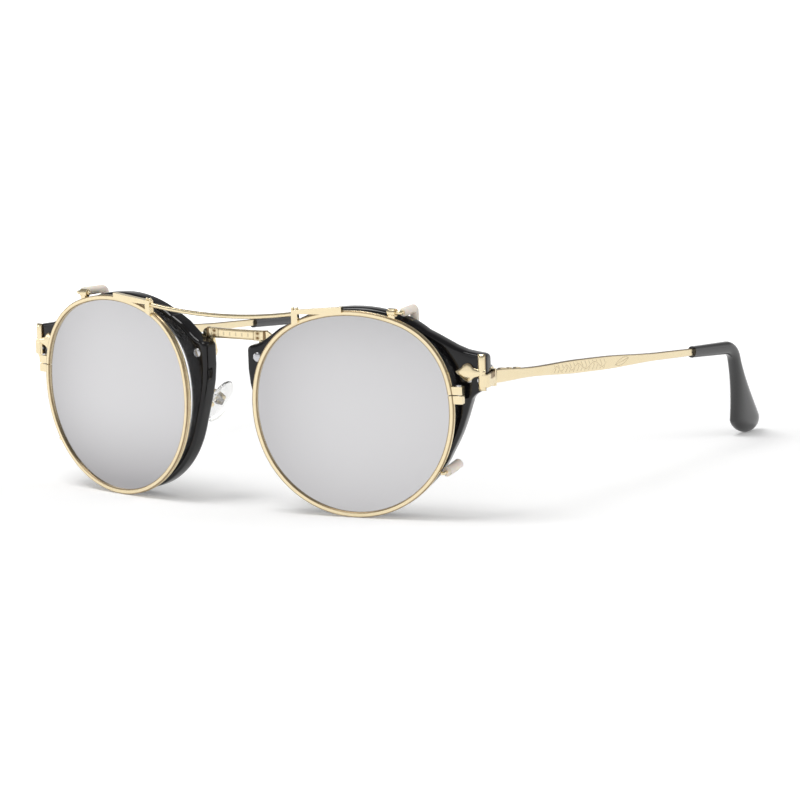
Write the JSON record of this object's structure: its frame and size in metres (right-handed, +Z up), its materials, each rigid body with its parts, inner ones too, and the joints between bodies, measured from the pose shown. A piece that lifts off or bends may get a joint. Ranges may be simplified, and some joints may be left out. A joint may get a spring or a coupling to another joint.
{
  "type": "flip up sunglasses",
  "caption": "Round glasses with black acetate rims, a gold bridge, arrow plates and temples, and a clip-on pair of silver mirror lenses that flips up on two hooks",
  "frame": {"origin": "half way between the centres of the two eye openings, on the front of the acetate at the lens centres, where the nose goes between the pads", "axes": "+X to the wearer's left, -Y out of the front, +Z up"},
  "size_m": [0.1438, 0.1646, 0.0518],
  "materials": {
    "acetate": "polished black acetate",
    "clear_lens": "clear colourless lens",
    "gold": "polished pale gold",
    "steel": "silvery screws and rivets",
    "silicone": "clear colourless pad",
    "tip": "polished dark grey-black",
    "mirror_lens": "silver mirror coating",
    "sleeve": "cream translucent rubber"
  },
  "bodies": {
    "front": {"rim_left": "acetate", "rim_right": "acetate", "lens_left": "clear_lens", "lens_right": "clear_lens", "bridge": "gold", "bridge_rivets": "steel", "pad_arm_left": "gold", "pad_arm_right": "gold", "pad_screws": "steel", "arrow_plate_left": "gold", "arrow_plate_right": "gold", "hinge_front_left": "gold", "hinge_front_right": "gold", "hinge_rivets": "steel", "hinge_screw_left": "steel", "hinge_screw_right": "steel", "top_hook_left": "gold", "top_hook_right": "gold", "top_sleeve_left": "sleeve", "top_sleeve_right": "sleeve"},
    "pad_left": {"nose_pad_left": "silicone"},
    "pad_right": {"nose_pad_right": "silicone"},
    "temple_left": {"temple_left": "gold", "temple_tip_left": "tip"},
    "temple_right": {"temple_right": "gold", "temple_tip_right": "tip"},
    "clip": {"clip_rim_left": "gold", "clip_rim_right": "gold", "clip_lens_left": "mirror_lens", "clip_lens_right": "mirror_lens", "clip_bar": "gold", "clip_post_left": "gold", "clip_post_right": "gold", "clip_lock_left": "gold", "clip_lock_right": "gold", "clip_lock_screws": "steel", "clip_barrel_left": "gold", "clip_barrel_right": "gold", "low_hook_left": "gold", "low_hook_right": "gold", "low_sleeve_left": "sleeve", "low_sleeve_right": "sleeve"}
  },
  "joints": [
    {"name": "clip_flip", "type": "hinge", "parent": "front", "child": "clip", "pos_m": [0, -0.0017, 0.0247], "axis": [-1, 0, 0], "range_deg": [0, 85]},
    {"name": "temple_left_fold", "type": "hinge", "parent": "front", "child": "temple_left", "pos_m": [0.06348, 0.01243, 0.00874], "axis": [0, 0, 1], "range_deg": [0, 90]},
    {"name": "temple_right_fold", "type": "hinge", "parent": "front", "child": "temple_right", "pos_m": [-0.06348, 0.01243, 0.00874], "axis": [0, 0, -1], "range_deg": [0, 82]},
    {"name": "pad_left_rock", "type": "hinge", "parent": "front", "child": "pad_left", "pos_m": [0.0112, 0.0059, -0.0006], "axis": [-0.3758, 0.8988, -0.2258], "range_deg": [-10, 10]},
    {"name": "pad_right_rock", "type": "hinge", "parent": "front", "child": "pad_right", "pos_m": [-0.0112, 0.0059, -0.0006], "axis": [0.3758, 0.8988, -0.2258], "range_deg": [-10, 10]}
  ]
}
